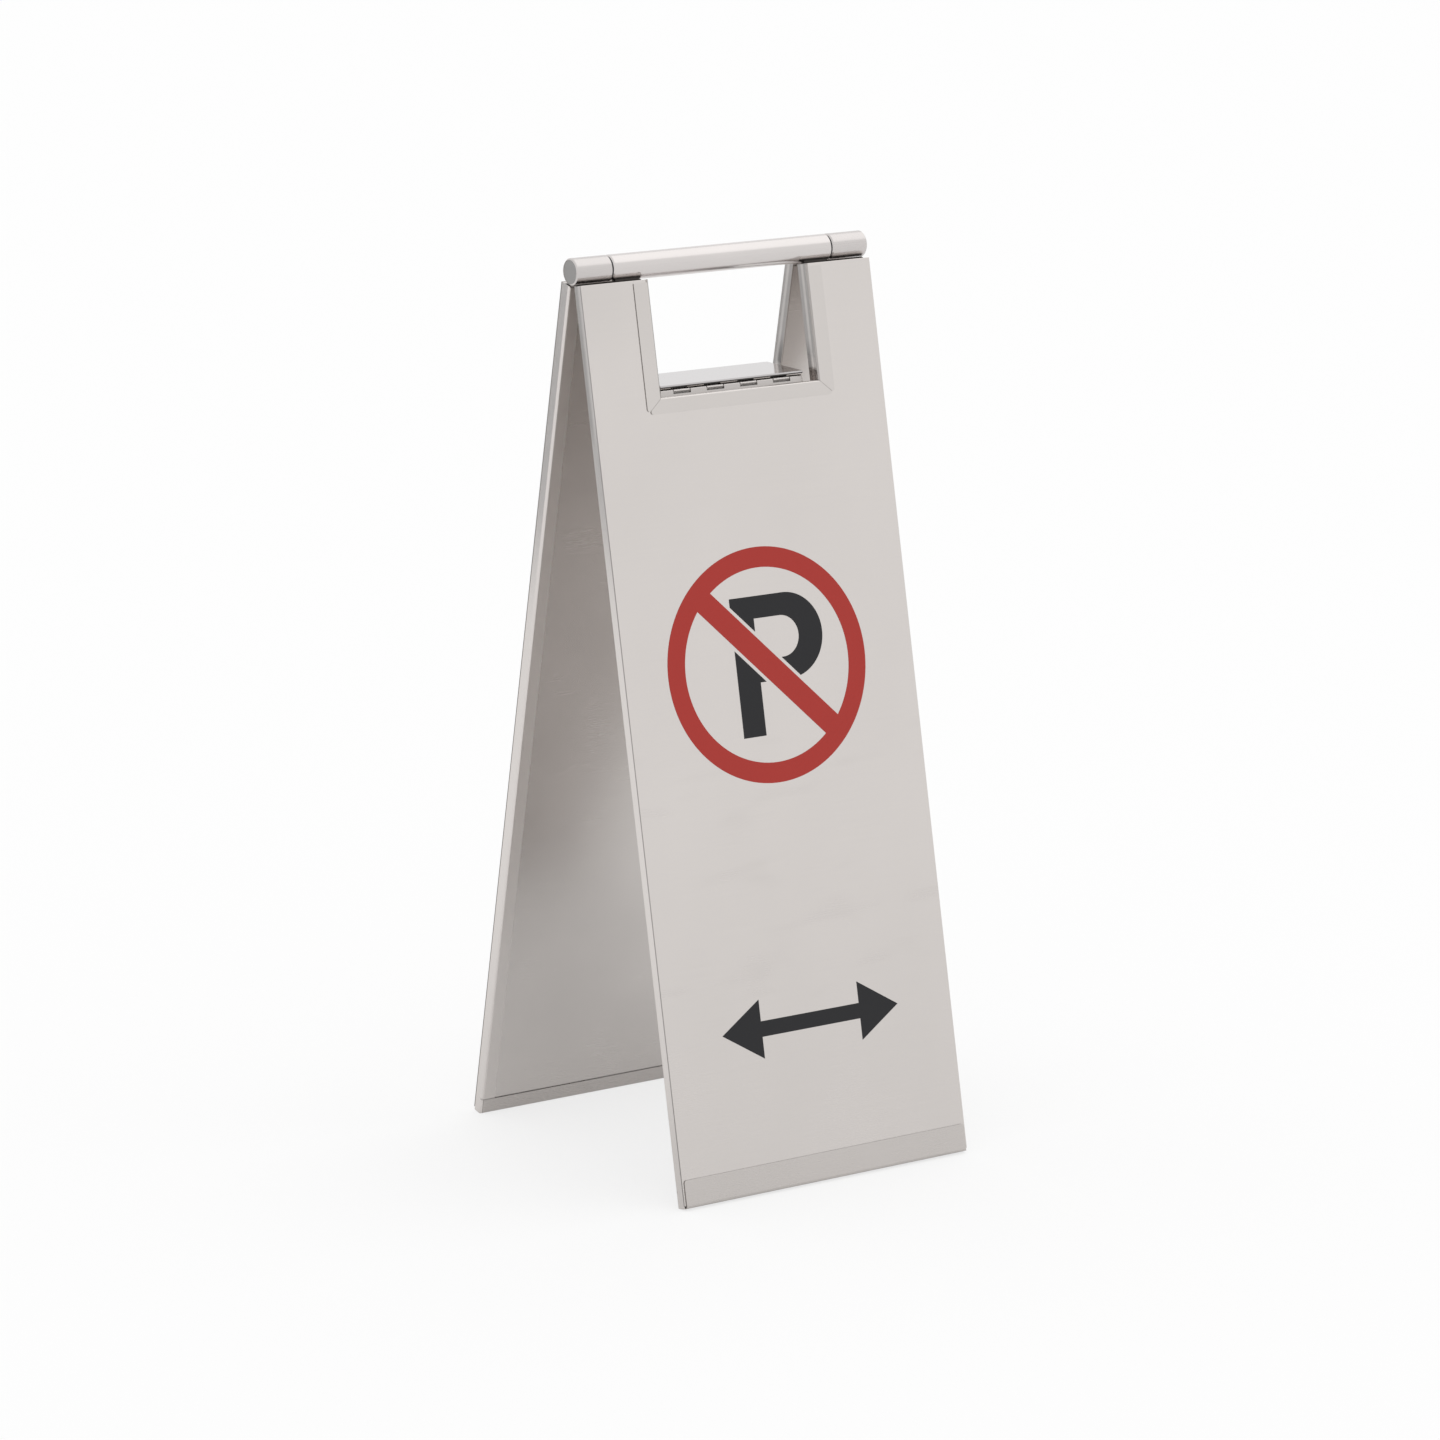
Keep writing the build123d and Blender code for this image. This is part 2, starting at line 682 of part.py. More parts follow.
for leaf_name, plane in (("front", front), ("back", back)):
    room = strap_rooms[leaf_name]
    face_sheet(plane, f"{leaf_name}_outer_skin")
    inner_tray(plane, room, f"{leaf_name}_inner_skin")
    hem_channel(plane, f"{leaf_name}_hem")
    sill_trim(plane, f"{leaf_name}_sill_trim")
    jamb_trims(plane, f"{leaf_name}_left_jamb_trim", f"{leaf_name}_right_jamb_trim")
    for hand, side in (("left", -1), ("right", 1)):
        stiffener(plane, side * stiffener_spacing / 2, f"{leaf_name}_{hand}_stiffener")
        strap(plane, side, room, f"{leaf_name}_{hand}_strap")
    ring_film(plane, f"{leaf_name}_ring_film")
    letter_film(plane, f"{leaf_name}_letter_film")
    arrow_film(plane, f"{leaf_name}_arrow_film")

tube_piece(-middle_half, middle_half, "middle_tube")
tube_piece(-tube_half, -tube_half + end_knuckle_length, "left_end_knuckle", plug_side=-1)
tube_piece(tube_half - end_knuckle_length, tube_half, "right_end_knuckle", plug_side=1)
for hand, side in (("left", -1), ("right", 1)):
    bush(side, f"{hand}_bush")
    end_plug(side, f"{hand}_end_plug")
hinge_rod("hinge_rod")

fixed_hinge_leaf("fixed_hinge_leaf")
leaf_rivets("leaf_rivets")
hinge_pin("stay_hinge_pin")
moving_hinge_leaf("moving_hinge_leaf")
stay_plate("stay_plate")
catch_bar("catch_bar")
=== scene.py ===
import json
import math

import bmesh
import bpy
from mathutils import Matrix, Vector


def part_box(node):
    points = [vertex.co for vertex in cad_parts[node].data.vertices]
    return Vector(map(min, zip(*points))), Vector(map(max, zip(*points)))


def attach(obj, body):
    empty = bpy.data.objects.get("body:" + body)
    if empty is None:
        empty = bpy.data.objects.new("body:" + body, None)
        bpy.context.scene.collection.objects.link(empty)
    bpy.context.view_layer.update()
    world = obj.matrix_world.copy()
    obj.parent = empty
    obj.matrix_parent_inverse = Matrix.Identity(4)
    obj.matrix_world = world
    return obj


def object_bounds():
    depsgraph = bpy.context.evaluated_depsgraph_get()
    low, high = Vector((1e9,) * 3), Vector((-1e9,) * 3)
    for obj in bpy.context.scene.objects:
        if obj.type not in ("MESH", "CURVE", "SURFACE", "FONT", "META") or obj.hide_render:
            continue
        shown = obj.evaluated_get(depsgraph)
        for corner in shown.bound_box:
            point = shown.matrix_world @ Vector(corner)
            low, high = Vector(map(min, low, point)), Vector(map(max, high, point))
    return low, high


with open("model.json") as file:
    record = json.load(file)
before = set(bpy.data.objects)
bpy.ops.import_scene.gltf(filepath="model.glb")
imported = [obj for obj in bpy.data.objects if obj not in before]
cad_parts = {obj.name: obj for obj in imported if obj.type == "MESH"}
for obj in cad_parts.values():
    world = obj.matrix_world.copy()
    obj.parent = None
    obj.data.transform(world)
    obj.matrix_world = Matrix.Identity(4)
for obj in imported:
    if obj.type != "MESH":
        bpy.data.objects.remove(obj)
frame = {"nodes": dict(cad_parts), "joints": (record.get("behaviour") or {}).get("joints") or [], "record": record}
cad_low, cad_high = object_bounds()

# Folding floor sign of brushed sheet steel. Metres, +Z up, the carrying tube along X, the printed front
# facing -Y. On a leaf, "down" is the distance below the tube's axis along the leaf, and "out" is the distance
# towards its printed side from the plane that runs along the leaf through the tube's axis. A pair of places
# says where a change over a surface starts and where it is complete.

mounts = {mount["name"]: mount for mount in frame["record"]["mounts"]}
joints = {joint["name"]: joint for joint in frame["joints"]}

# Places on the sign
axis_height = joints["fold"]["pos_m"][2]
face_normal = Vector(mounts["front_face"]["axis"])
lean_cos = -face_normal.y
lean_sin = face_normal.z
# How far out the face sheet's outside lies
sheet_face = (Vector(mounts["front_face"]["pos_m"]) - Vector((0, 0, axis_height))).dot(face_normal)
sheet = 0.0008  # thickness of the face sheet
half_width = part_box("front_inner_skin")[1].x
middle_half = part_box("middle_tube")[1].x
leaf_top = 0.00946  # down to the top wall of a leaf
hem_start = 0.5831  # down to the upper edge of the hem's short leg
panel_rim = 0.0095  # flat beside the panel pressed into a leaf's inside
tray_inside = 0.003  # a tray's inside face lies less far out than this
lapped_from = sheet_face + 0.00005  # what lies further out than this is lapped over the face sheet
stay_pin = Vector(joints["stay_fold"]["pos_m"])
barrel_radius = 0.0021  # a little more than the stay hinge's knuckles

# Weld bead along the top of each leaf, in the crevice under the tube, near black as painted shade there
bead_inner = 0.0612  # from the middle of the leaf to the end beside the window
bead_outer = 0.1094
bead_out = 0.0034
bead_radius = 0.00135
bead_sunk = 0.00025  # its axis below the leaf's top
bead_ripple = 0.0011
bead_waist = 0.92  # narrow ripples against wide ones
bead_tip = 0.45
bead_sides = 20
bead_crease = 50.0  # degrees
bead_merge = 0.000001

# Size of a pattern's cell along its direction and across it
fine_scratch = (0.033, 0.00028)
coarse_scratch = (0.110, 0.0019)
sheet_cloud = (0.062, 0.090)
wipe_mark = (0.055, 0.016)
panel_stain = (0.070, 0.055)
tube_line = (0.070, 0.0005)
tube_cloud = (0.030, 0.020)
rolled_line = (0.040, 0.0004)
metal_pit = (0.0011, 0.0011)
weld_scale = (0.004, 0.002)
moulded_grain = (0.0006, 0.0006)
ink_cloud = (0.038, 0.038)
ink_peel = 0.0011
turned_ring = 0.0004

# Marks on brushed sheet, some of them painted shade
handled_top = (0.27, 0.34)  # wiped by hands, down from here
handled_bottom = (0.51, 0.45)  # and no further than here
wipe_contrast = (0.04, 0.30)
# Painted shade: brushed sheet darker towards the floor, from here down to here
sheet_floor_shade = (0.30, 0.60)
# Painted shade in the top left corner of a leaf
shaded_corner_down = (0.075, 0.015)
shaded_corner_across = (-0.040, -0.100)
flange_ends = (0.0115, 0.0117)  # down to the upper ends of the trim's flanges
face_edges = (0.14, 0.20)  # the face sheet's edges carry painted shade below this
flat_facing = 0.5  # a flat faces along the leaf's normal by more than this share

# Window trim, painted light and shade: flats, bends, and webs that face sideways
web_facing = 0.93  # a web faces sideways by more than this share
bend_facing = 0.25  # and a bend by more than this
bend_from = sheet_face - 0.0012
stripe_inside = (0.0034, 0.0046)  # painted reflection, a lighter stripe down the middle of a web
stripe_outside = (0.0072, 0.0060)
foot_top = (0.056, 0.074)  # painted shade at the foot of a web
foot_bottom = (0.079, 0.076)
foot_reach = (0.0072, 0.0034)
foot_shade = 0.42
# Flats, bends in painted shade, and webs in painted shade
flat_tone = 0.848
bend_shade = 0.56
web_shade = 0.70

# Marks on a bent tray, most of them painted light and shade
wall_facing = 0.6  # a side wall faces sideways by more than this share
tray_tone = 0.833  # where the side walls' painted highlight and shade don't reach
panel_shade_tone = 0.87  # painted shade: the pressed panel darker than the rest of the tray
# Painted highlight along the outer rims of the front leaf's side walls near the top, painted shade beside it
lit_wall_down = (0.118, 0.092)
lit_wall_rim = (0.0043, 0.0074)
# Painted shade on a leaf's top wall, in the crevice under the tube, deepest towards the inside of the leaf
top_wall = (leaf_top + 0.0008, leaf_top + 0.0002)
crevice_shade_reach = (bead_out + 0.0028, bead_out + 0.0012)
# Painted shade line along the step at the hem's upper edge
seam_width = (0.0008, 0.0003)
# Rims and walls darker towards the bottom
tray_darker_below = (0.38, 0.57)

# Painted shade on the stay's hinge
pin_level = (0.0003, -0.0003)  # painted shade on the curls, fading in from above the pin's axis to below it
# Near-black painted shade on the leaf in the gap above the curls
gap_shade_tone = 0.12

# Colours of the finishes
face_colour = (0.672, 0.635, 0.612, 1.0)
tray_colour = (0.854, 0.809, 0.780, 1.0)
hem_colour = (0.598, 0.564, 0.542, 1.0)
trim_colour = (0.755, 0.714, 0.687, 1.0)
tube_colour = (0.682, 0.648, 0.634, 1.0)
plug_colour = (0.432, 0.419, 0.409, 1.0)
hinge_colour = (0.545, 0.516, 0.498, 1.0)
curl_colour = (0.66, 0.624, 0.602, 1.0)
pin_colour = (0.40, 0.383, 0.368, 1.0)
stay_colour = (0.573, 0.552, 0.552, 1.0)
mill_colour = (0.06, 0.055, 0.052, 1.0)
# Near black: painted shade in the crevice under the tube
weld_shade_colour = (0.045, 0.040, 0.036, 1.0)
bush_colour = (0.03, 0.03, 0.032, 1.0)
red_colour = (0.388, 0.029, 0.021, 1.0)
ink_colour = (0.013, 0.013, 0.015, 1.0)
white = (1.0, 1.0, 1.0, 1.0)
black = (0.0, 0.0, 0.0, 1.0)

# The photograph's camera
camera_place = (-1.9264, -2.8972, 1.0989)
camera_yaw = 33.648  # degrees from +Y towards +X
camera_pitch = 13.26  # degrees below the horizon
camera_lens = 137.8
camera_sensor = 36.0

# Light
sky_level = 0.98
sun_level = 0.36
sun_spread = 66.0  # degrees
sun_azimuth = 88.0  # degrees from -Y towards +X
sun_elevation = 54.0
floor_colour = (0.90, 0.90, 0.90, 1.0)
floor_size = 60.0
floor_white_seen = 0.70  # share of plain white in what the camera sees of the floor
floor_white_mirrored = 0.30  # and in what the metal mirrors of it
card_colour = (0.56, 0.57, 0.58, 1.0)
card_azimuth = 146.0  # degrees from -Y towards -X
card_distance = 1.3
card_width = 1.8
card_bottom = 0.15
card_top = 0.46


class Value:
    """What a shader node puts out. Arithmetic on a number adds Math nodes to the same tree."""

    def __init__(self, tree, socket):
        self.tree = tree
        self.socket = socket

    def maths(self, operation, *terms):
        node = self.tree.nodes.new("ShaderNodeMath")
        node.operation = operation
        for place, term in zip(node.inputs, terms):
            join(self.tree, place, term)
        return Value(self.tree, node.outputs[0])

    def __add__(self, other):
        return self.maths("ADD", self, other)

    __radd__ = __add__

    def __sub__(self, other):
        return self.maths("SUBTRACT", self, other)

    def __rsub__(self, other):
        return self.maths("SUBTRACT", other, self)

    def __mul__(self, other):
        return self.maths("MULTIPLY", self, other)

    __rmul__ = __mul__

    def __truediv__(self, other):
        return self.maths("DIVIDE", self, other)

    def __pow__(self, other):
        return self.maths("POWER", self, other)

    def __abs__(self):
        return self.maths("ABSOLUTE", self)

    def sign(self):
        return self.maths("SIGN", self)

    def over(self, limit):
        """One where this is more than the limit, else nothing."""
        return self.maths("GREATER_THAN", self, limit)


def join(tree, place, term):
    """Put a number, a colour or another node's output into a socket."""
    if isinstance(term, Value):
        tree.links.new(term.socket, place)
    else:
        place.default_value = term


class Nodes:
    """A node tree under construction."""

    def __init__(self, tree):
        self.tree = tree

    def node(self, kind, settings=None, inputs=None, output=0):
        """Add a node with its settings, then its sockets, and give back one output."""
        made = self.tree.nodes.new(kind)
        for name, value in (settings or {}).items():
            setattr(made, name, value)
        for name, term in (inputs or {}).items():
            join(self.tree, made.inputs[name], term)
        return Value(self.tree, made.outputs[output])

    def rays(self):
        """One for rays from the camera, for mirrored rays and for rays seen through glass, else nothing."""
        names = ("Is Camera Ray", "Is Glossy Ray", "Is Transmission Ray")
        return [self.node("ShaderNodeLightPath", output=name) for name in names]

    def mix_shaders(self, share, first, second):
        return self.node("ShaderNodeMixShader", inputs={"Fac": share, 1: first, 2: second})


class Finish(Nodes):
    """A material under construction: its nodes, its shader and the coordinates that its patterns read."""

    def __init__(self, name):
        self.material = bpy.data.materials.new(name)
        self.material.use_nodes = True
        super().__init__(self.material.node_tree)
        self.shader = self.tree.nodes["Principled BSDF"]
        self.x, self.y, self.z = self.parts(self.node("ShaderNodeTexCoord", output="Object"))

    def parts(self, vector):
        """The three numbers of a vector."""
        split = self.node("ShaderNodeSeparateXYZ", inputs={"Vector": vector})
        return [Value(self.tree, part) for part in split.socket.node.outputs]

    def noise(self, *spans, seed=0.0, detail=2.0, roughness=0.5):
        """Soft noise about 0, from -0.5 to 0.5. A span is a coordinate and the size of one cell along it."""
        cells = [coordinate / size for coordinate, size in spans]
        x, y, z = (cells + [seed, seed])[:3]
        place = self.node("ShaderNodeCombineXYZ", inputs={"X": x, "Y": y, "Z": z})
        inputs = {"Vector": place, "Scale": 1.0, "Detail": detail, "Roughness": roughness}
        return self.node("ShaderNodeTexNoise", inputs=inputs) - 0.5

    def noise_over(self, along, beside, cell, **kind):
        """Noise over a sheet, from the size of its cell along one coordinate and another beside it."""
        return self.noise((along, cell[0]), (beside, cell[1]), **kind)

    def noise_along_x(self, cell, **kind):
        """Noise in the solid, from the size of its cell along X and across it."""
        return self.noise((self.x, cell[0]), (self.y, cell[1]), (self.z, cell[1]), **kind)

    def scratches(self, along, beside):
        """Fine and coarse scratches of a brushed sheet, about 0."""
        fine = self.noise_over(along, beside, fine_scratch, detail=3.0, roughness=0.7)
        coarse = self.noise_over(along, beside, coarse_scratch, seed=4.0)
        return fine, coarse

    def step(self, value, places):
        """Smooth change from 0 to 1 as the value goes from the first place to the second."""
        inputs = {"Value": value, "From Min": places[0], "From Max": places[1]}
        return self.node("ShaderNodeMapRange", {"interpolation_type": "SMOOTHSTEP"}, inputs)

    def shade(self, colour, level):
        """Colour made darker or lighter by a number that changes over the surface."""
        inputs = {"Factor": level, 6: black, 7: colour}
        return self.node("ShaderNodeMix", {"data_type": "RGBA"}, inputs, output=2)

    def bump(self, height, depth):
        """Normal of a surface whose height, over a range of 1, stands for that depth in metres."""
        return self.node("ShaderNodeBump", inputs={"Height": height, "Distance": depth})

    def leaf_place(self):
        """How far down and how far out on a leaf. The two leaves mirror each other."""
        fall = axis_height - self.z
        down = fall * lean_cos + abs(self.y) * lean_sin
        out = abs(self.y) * lean_cos - fall * lean_sin
        return down, out

    def facing(self):
        """How far the surface faces sideways and how far it faces along the leaf's normal, from 0 to 1."""
        side, depth, rise = self.parts(self.node("ShaderNodeTexCoord", output="Normal"))
        return abs(side), abs(depth * self.y.sign() * lean_cos + rise * lean_sin)

    def set(self, **sockets):
        """Fill the shader's sockets. Underscores in a name stand for spaces."""
        for name, term in sockets.items():
            join(self.tree, self.shader.inputs[name.replace("_", " ")], term)
        return self.material


def trim_painted_light(finish, down, out, side_share):
    """Painted light and shade on the window's angle trim: its flats, its bends darkened, and its webs darkened,
    with a painted reflection down their middle and painted shade at their foot.
    """
    web = side_share.over(web_facing)
    bend = side_share.over(bend_facing) * (1 - web) * out.over(bend_from)
    stripe = finish.step(out, stripe_inside) * finish.step(out, stripe_outside)
    foot = finish.step(down, foot_top) * finish.step(down, foot_bottom) * finish.step(out, foot_reach)
    striped = (web_shade + stripe * (1 - web_shade)) * (1 - foot * foot_shade)
    return (1 - bend - web) * flat_tone + bend * bend_shade + web * striped


def brushed_sheet(
    name, colour, gloss, wear=0.0, edge_from=lapped_from, edge_down=flange_ends, edge_shade_tone=0.45, painted_light=None
):
    """Sheet brushed across the leaf, a little clouded and wiped, rougher towards the floor and darker there with
    painted shade, and darker in its top left corner with painted shade.

    Sheared edges further out than edge_from are darker with painted shade. Where the sheet is bent, a function
    gives its painted light and shade.
    """
    finish = Finish(name)
    down, out = finish.leaf_place()
    side_share, face_share = finish.facing()
    fine, coarse = finish.scratches(finish.x, down)
    cloud = finish.noise_over(finish.x, down, sheet_cloud, seed=7.0)
    wipes = finish.noise_over(finish.x, down, wipe_mark, seed=2.0, detail=1.0)
    handled = finish.step(down, handled_top) * finish.step(down, handled_bottom)
    patches = finish.step(wipes, wipe_contrast) * handled
    darker_below = finish.step(down, sheet_floor_shade)
    # Painted shade in the top left corner
    corner = finish.step(down, shaded_corner_down) * finish.step(finish.x, shaded_corner_across)
    # Painted shade on sheared edges that stand out from the face sheet, below edge_down
    edges = out.over(edge_from) * (1 - face_share.over(flat_facing)) * finish.step(down, edge_down)
    # Wear in handled patches, and painted shade towards the floor and in the top left corner
    wear_and_shade = patches * wear + darker_below * 0.068 + corner * 0.045
    level = (0.98 + fine * 0.045 + coarse * 0.015 + cloud * 0.05 - wear_and_shade) * (1 - edges * (1 - edge_shade_tone))
    if painted_light:
        level = level * painted_light(finish, down, out, side_share)
    base = finish.shade(colour, level)
    rough = gloss + fine * 0.10 + cloud * 0.06 + patches * 0.05 + darker_below * 0.03
    height = finish.bump(fine * 0.8 + coarse * 0.2, depth=0.00002)
    return finish.set(Base_Color=base, Metallic=1.0, Roughness=rough, Normal=height)


def bent_tray(name, colour, gloss):
    """Tray behind the face sheet. Rims and walls are brushed lengthwise, the pressed panel across.

    The panel is darker, painted shade, and stained in soft patches, and the narrow top wall is darkened with
    painted shade in the crevice under the tube. The front leaf's side walls have a painted highlight along their
    outer rims near the top, and painted shade beside them. A painted shade line runs along the hem's upper
    edge, and the rims and walls are darker towards the bottom.
    """
    finish = Finish(name)
    down, out = finish.leaf_place()
    side_share, face_share = finish.facing()
    wall = side_share.over(wall_facing)
    inward = 1 - out.over(tray_inside)
    panel = (1 - abs(finish.x).over(half_width - panel_rim)) * inward
    along = finish.x * panel + down * (1 - panel)
    beside = down * panel + (abs(finish.x) + out) * (1 - panel)
    fine, coarse = finish.scratches(along, beside)
    stain = finish.noise_over(finish.x, down, panel_stain, seed=5.0)
    # Painted shade on the narrow top wall, in the crevice under the tube
    top = finish.step(down, top_wall) * (1 - wall) * (1 - face_share.over(wall_facing))
    crevice_shade = top * (0.15 + 0.75 * finish.step(out, crevice_shade_reach))
    # Painted shade line along the hem's upper edge, on the inside
    seam_shade = finish.step(abs(down - hem_start), seam_width) * inward
    darker_below = finish.step(down, tray_darker_below) * (1 - panel)
    front = 1 - finish.y.over(0.0)
    # Painted highlight and painted shade on the front leaf's side walls near the top
    wall_light_and_shade = wall * finish.step(down, lit_wall_down) * front * (finish.step(out, lit_wall_rim) * 0.30 - 0.15)
    clean = 0.98 + fine * 0.04 + coarse * 0.02 + stain * 0.12 * panel - darker_below * 0.06
    level = clean * (1 - panel * (1 - panel_shade_tone)) * (tray_tone + wall_light_and_shade)
    base = finish.shade(colour, level * (1 - seam_shade * 0.30) * (1 - crevice_shade))
    rough = gloss + (1 - panel - wall) * 0.10 - wall * 0.06 + fine * 0.06 + stain * 0.05
    height = finish.bump(fine * 0.8 + coarse * 0.2, depth=0.000006)
    return finish.set(Base_Color=base, Metallic=1.0, Roughness=rough, Normal=height)


def polished_tube(name, colour, gloss):
    """Tube drawn and polished along its length, brighter and smoother on the middle tube than on the end knuckles.
    """
    finish = Finish(name)
    lines = finish.noise_along_x(tube_line, detail=3.0)
    cloud = finish.noise_along_x(tube_cloud)
    middle_part = 1 - abs(finish.x).over(middle_half)
    base = finish.shade(colour, 0.88 + middle_part * 0.08 + lines * 0.03 + cloud * 0.04)
    rough = gloss - middle_part * 0.03 + lines * 0.06 + cloud * 0.05
    height = finish.bump(lines, depth=0.000005)
    return finish.set(Base_Color=base, Metallic=1.0, Roughness=rough, Normal=height)


def turned_face(name, colour, gloss):
    """End face turned on a lathe: rings about the tube's axis."""
    finish = Finish(name)
    rise = finish.z - axis_height
    radius = (finish.y * finish.y + rise * rise) ** 0.5
    rings = finish.noise((radius, turned_ring))
    base = finish.shade(colour, 0.96 + rings * 0.12)
    rough = gloss + rings * 0.05
    height = finish.bump(rings, depth=0.00002)
    return finish.set(Base_Color=base, Metallic=1.0, Roughness=rough, Normal=height)


def bright_metal(name, colour, gloss):
    """Rolled bright steel with faint lines along X and fine pits."""
    finish = Finish(name)
    lines = finish.noise_along_x(rolled_line)
    pits = finish.noise_along_x(metal_pit, detail=1.0)
    base = finish.shade(colour, 0.97 + lines * 0.08)
    rough = gloss + pits * 0.08
    height = finish.bump(lines, depth=0.000008)
    return finish.set(Base_Color=base, Metallic=1.0, Roughness=rough, Normal=height)


def shaded_curls(name, colour, gloss):
    """Hinge leaf with curls round the pin, with painted shade on their lower half, and near-black painted shade on
    the leaf in the narrow gap above them.
    """
    finish = Finish(name)
    ahead = finish.y - stay_pin.y
    rise = finish.z - stay_pin.z
    away = (ahead * ahead + rise * rise) ** 0.5
    pits = finish.noise_along_x(metal_pit, detail=1.0)
    # Painted shade below the pin's axis, and near black in the gap above the curls
    below = finish.step(rise, pin_level)
    gap = away.over(barrel_radius) * (1 - ahead.over(barrel_radius))
    level = (0.97 + pits * 0.10) * (1 - below * 0.7) * (1 - gap * (1 - gap_shade_tone))
    base = finish.shade(colour, level)
    rough = gloss + pits * 0.10
    height = finish.bump(pits, depth=0.00001)
    return finish.set(Base_Color=base, Metallic=1.0, Roughness=rough, Normal=height)


def shaded_weld(name, colour, gloss):
    """Weld metal near black in uneven patches, painted shade for the crevice under the tube that the beads fill.
    """
    finish = Finish(name)
    scale = finish.noise_along_x(weld_scale, detail=3.0)
    base = finish.shade(colour, 0.9 + scale * 0.8)
    rough = gloss + scale * 0.2
    height = finish.bump(scale, depth=0.00006)
    return finish.set(Base_Color=base, Metallic=1.0, Roughness=rough, Normal=height)


def moulded_plastic(name, colour, gloss):
    """Plain bearing plastic with a fine moulded grain."""
    finish = Finish(name)
    grain = finish.noise_along_x(moulded_grain)
    base = finish.shade(colour, 0.95 + grain * 0.2)
    rough = gloss + grain * 0.1
    height = finish.bump(grain, depth=0.00001)
    return finish.set(Base_Color=base, Roughness=rough, Normal=height)


def printed_film(name, colour, gloss):
    """Screen-printed ink: a slight orange peel and a little unevenness in the colour."""
    finish = Finish(name)
    down, out = finish.leaf_place()
    peel = finish.noise((finish.x, ink_peel), (down, ink_peel), (out, ink_peel), detail=1.0)
    cloud = finish.noise_over(finish.x, down, ink_cloud, seed=3.0)
    base = finish.shade(colour, 0.96 + peel * 0.05 + cloud * 0.06)
    rough = gloss + peel * 0.08
    height = finish.bump(peel, depth=0.000006)
    return finish.set(Base_Color=base, Roughness=rough, Specular_IOR_Level=0.3, Normal=height)


# The record's material slots
finishes = {
    "face_steel": brushed_sheet(
        "face_sheet", face_colour, gloss=0.23,
        wear=0.03, edge_from=sheet_face - sheet, edge_down=face_edges, edge_shade_tone=0.6,
    ),
    "tray_steel": bent_tray("tray_sheet", tray_colour, gloss=0.26),
    "hem_steel": brushed_sheet("hem_sheet", hem_colour, gloss=0.25),
    "trim_steel": brushed_sheet("trim_sheet", trim_colour, gloss=0.24, painted_light=trim_painted_light),
    "tube_steel": polished_tube("tube_polish", tube_colour, gloss=0.27),
    "plug_steel": turned_face("plug_face", plug_colour, gloss=0.34),
    "hinge_steel": bright_metal("hinge_metal", hinge_colour, gloss=0.24),
    "pin_steel": bright_metal("pin_wire", pin_colour, gloss=0.55),
    "stay_steel": bright_metal("stay_polish", stay_colour, gloss=0.12),
    "inner_steel": bright_metal("mill_metal", mill_colour, gloss=0.45),
    "bush_plastic": moulded_plastic("bush_black", bush_colour, gloss=0.5),
    "red_print": printed_film("red_ink", red_colour, gloss=0.40),
    "black_print": printed_film("black_ink", ink_colour, gloss=0.42),
}
curl_finish = shaded_curls("curl_metal", curl_colour, gloss=0.34)
weld_shade_finish = shaded_weld("weld_metal", weld_shade_colour, gloss=0.55)


def dress_nodes():
    """Give every piece of the frame the finish of its slot, and the stay hinge's curls their own."""
    for part in frame["record"]["subparts"]:
        node = frame["nodes"][part["node"]]
        node.data.materials.clear()
        node.data.materials.append(finishes[part["material_slot"]])
    curls = frame["nodes"]["moving_hinge_leaf"]
    curls.data.materials[0] = curl_finish


def leaf_point(face, x, down, out):
    """Point on a leaf. Face is -1 for the front leaf and 1 for the back leaf."""
    y = face * (down * lean_sin + out * lean_cos)
    return Vector((x, y, axis_height - down * lean_cos + out * lean_sin))


def choose(piece, kind, wanted):
    """Select the vertices or edges of a piece in edit mode that are wanted, and nothing else."""
    bpy.ops.mesh.select_mode(type="VERT" if kind == "verts" else "EDGE")
    bpy.ops.mesh.select_all(action="DESELECT")
    mesh = bmesh.from_edit_mesh(piece.data)
    for item in getattr(mesh, kind):
        if wanted(item):
            item.select_set(True)
    bmesh.update_edit_mesh(piece.data)


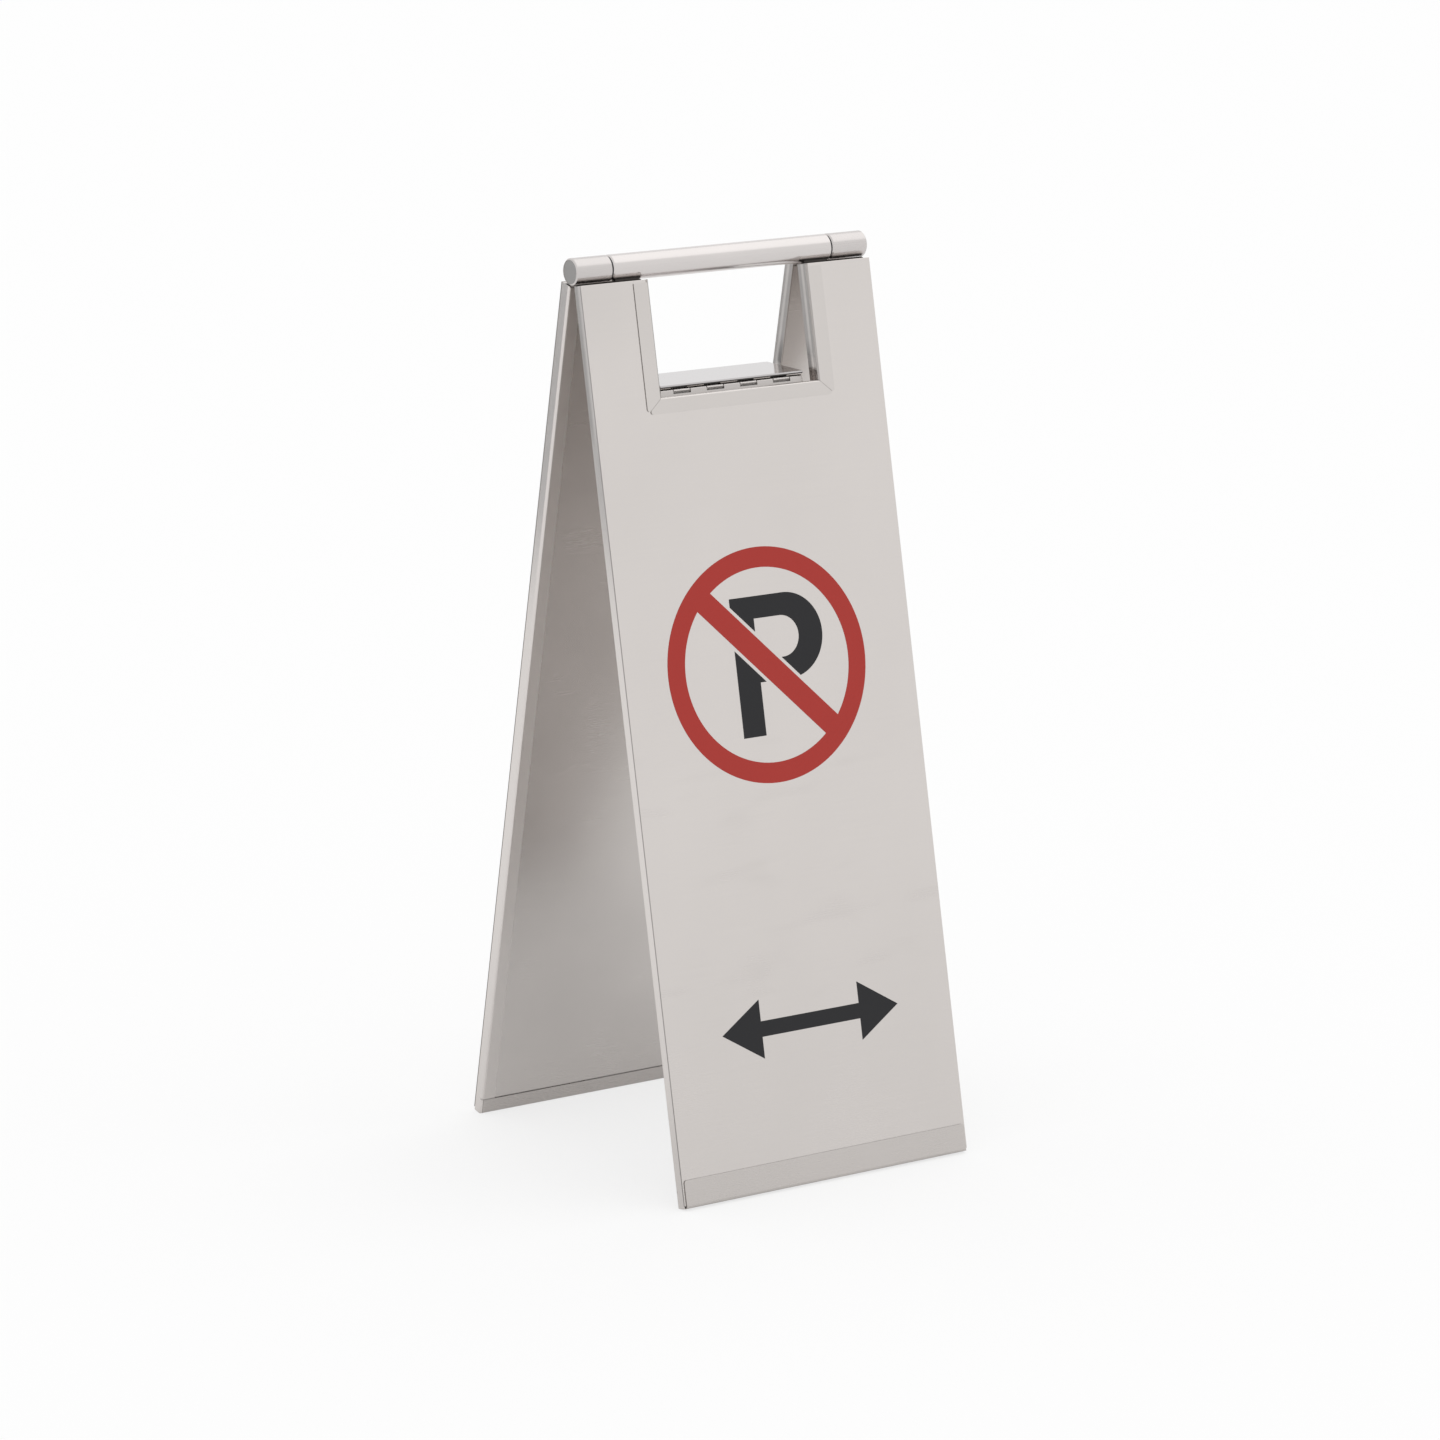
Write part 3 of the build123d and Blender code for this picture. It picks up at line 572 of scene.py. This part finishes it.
def weld_bead(name, body, face, side):
    """Rippled bead along one shoulder of a leaf: a bar cut into rings, waisted, and cut flat at its base."""
    length = bead_outer - bead_inner
    middle = side * (bead_inner + bead_outer) / 2
    axis = leaf_point(face, middle, leaf_top + bead_sunk, bead_out)
    base = leaf_point(face, middle, leaf_top, bead_out)
    bpy.ops.object.select_all(action="DESELECT")
    bpy.ops.mesh.primitive_cylinder_add(
        vertices=bead_sides, radius=bead_radius, depth=length, location=axis, rotation=(0, math.pi / 2, 0)
    )
    bead = bpy.context.object
    bead.name = name
    bpy.ops.object.transform_apply(location=True, rotation=True, scale=True)
    bpy.ops.object.mode_set(mode="EDIT")
    rings = round(length / bead_ripple)
    choose(bead, "edges", lambda edge: abs(edge.verts[0].co.x - edge.verts[1].co.x) > length / 2)
    bpy.ops.mesh.subdivide(number_cuts=rings - 1)
    start = middle - length / 2
    choose(bead, "verts", lambda vert: round((vert.co.x - start) / length * rings) % 2 == 1)
    bpy.ops.transform.resize(value=(1, bead_waist, bead_waist), center_override=axis)
    choose(bead, "verts", lambda vert: abs(vert.co.x - middle) > length / 2 - bead_ripple / 2)
    bpy.ops.transform.resize(value=(1, bead_tip, bead_tip), center_override=axis)
    bpy.ops.mesh.select_all(action="SELECT")
    upward = Vector((0, -face * lean_sin, lean_cos))
    bpy.ops.mesh.bisect(plane_co=base, plane_no=upward, use_fill=True, clear_inner=True)
    bpy.ops.mesh.select_all(action="SELECT")
    bpy.ops.mesh.remove_doubles(threshold=bead_merge)
    bpy.ops.mesh.normals_make_consistent(inside=False)
    bpy.ops.object.mode_set(mode="OBJECT")
    bpy.ops.object.shade_smooth_by_angle(angle=math.radians(bead_crease))
    bead.data.materials.append(weld_shade_finish)
    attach(bead, body)


def weld_beads():
    """Beads on both shoulders of both leaves."""
    for leaf, face in (("front", -1), ("back", 1)):
        for hand, side in (("left", -1), ("right", 1)):
            weld_bead(f"{leaf}_{hand}_weld", f"{leaf}_leaf", face, side)


def floor():
    """Wide pale floor, much of it plain white to the camera, so that only a soft shadow is left."""
    bpy.ops.object.select_all(action="DESELECT")
    bpy.ops.mesh.primitive_plane_add(size=floor_size, location=(0, 0, cad_low.z))
    plane = bpy.context.object
    plane.name = "floor"
    finish = Finish("floor_paint")
    finish.set(Base_Color=floor_colour, Roughness=0.9, Specular_IOR_Level=0.1)
    seen, mirrored, through = finish.rays()
    share = seen * floor_white_seen + (mirrored + through) * floor_white_mirrored
    paint = Value(finish.tree, finish.shader.outputs[0])
    glow = finish.node("ShaderNodeEmission", inputs={"Color": white, "Strength": 1.0})
    surface = finish.tree.nodes["Material Output"].inputs["Surface"]
    join(finish.tree, surface, finish.mix_shaders(share, paint, glow))
    plane.data.materials.append(finish.material)


def side_card():
    """Grey card out of the picture, behind on the left, for the sides of the sheet to mirror."""
    around = math.radians(card_azimuth)
    away = Vector((-math.sin(around), -math.cos(around), 0))
    height = card_top - card_bottom
    place = away * card_distance + Vector((0, 0, card_bottom + height / 2))
    bpy.ops.object.select_all(action="DESELECT")
    bpy.ops.mesh.primitive_plane_add(size=1, location=place, rotation=(math.pi / 2, 0, -around))
    card = bpy.context.object
    card.name = "side_card"
    card.scale = (card_width, height, 1)
    card.data.materials.append(Finish("card_paint").set(Base_Color=card_colour, Roughness=0.9))
    card.visible_camera = False
    card.visible_shadow = False
    card.visible_diffuse = False


def sky():
    """Even white surroundings, plain white where they are seen or mirrored."""
    world = bpy.data.worlds.new("studio")
    bpy.context.scene.world = world
    world.use_nodes = True
    nodes = Nodes(world.node_tree)
    seen, mirrored, through = nodes.rays()
    lit = nodes.node("ShaderNodeBackground", inputs={"Color": white, "Strength": sky_level})
    plain = nodes.node("ShaderNodeBackground", inputs={"Color": white, "Strength": 1.0})
    surface = world.node_tree.nodes["World Output"].inputs["Surface"]
    join(world.node_tree, surface, nodes.mix_shaders(seen + mirrored + through, lit, plain))


def lamp():
    """One broad soft lamp above on the right."""
    bulb = bpy.data.lights.new("broad_lamp", "SUN")
    bulb.energy = sun_level
    bulb.angle = math.radians(sun_spread)
    stand = bpy.data.objects.new("broad_lamp", bulb)
    bpy.context.scene.collection.objects.link(stand)
    around = math.radians(sun_azimuth)
    up = math.radians(sun_elevation)
    towards = Vector((math.sin(around) * math.cos(up), -math.cos(around) * math.cos(up), math.sin(up)))
    stand.rotation_mode = "QUATERNION"
    stand.rotation_quaternion = towards.to_track_quat("Z", "Y")


def camera():
    """The photograph's view."""
    lens = bpy.data.cameras.new("photo_camera")
    lens.lens = camera_lens
    lens.sensor_width = camera_sensor
    lens.clip_end = floor_size
    stand = bpy.data.objects.new("photo_camera", lens)
    bpy.context.scene.collection.objects.link(stand)
    stand.location = camera_place
    stand.rotation_euler = (math.radians(90 - camera_pitch), 0, -math.radians(camera_yaw))
    bpy.context.scene.camera = stand


dress_nodes()
weld_beads()
floor()
side_card()
sky()
lamp()
camera()
bpy.context.scene.view_settings.view_transform = "Standard"
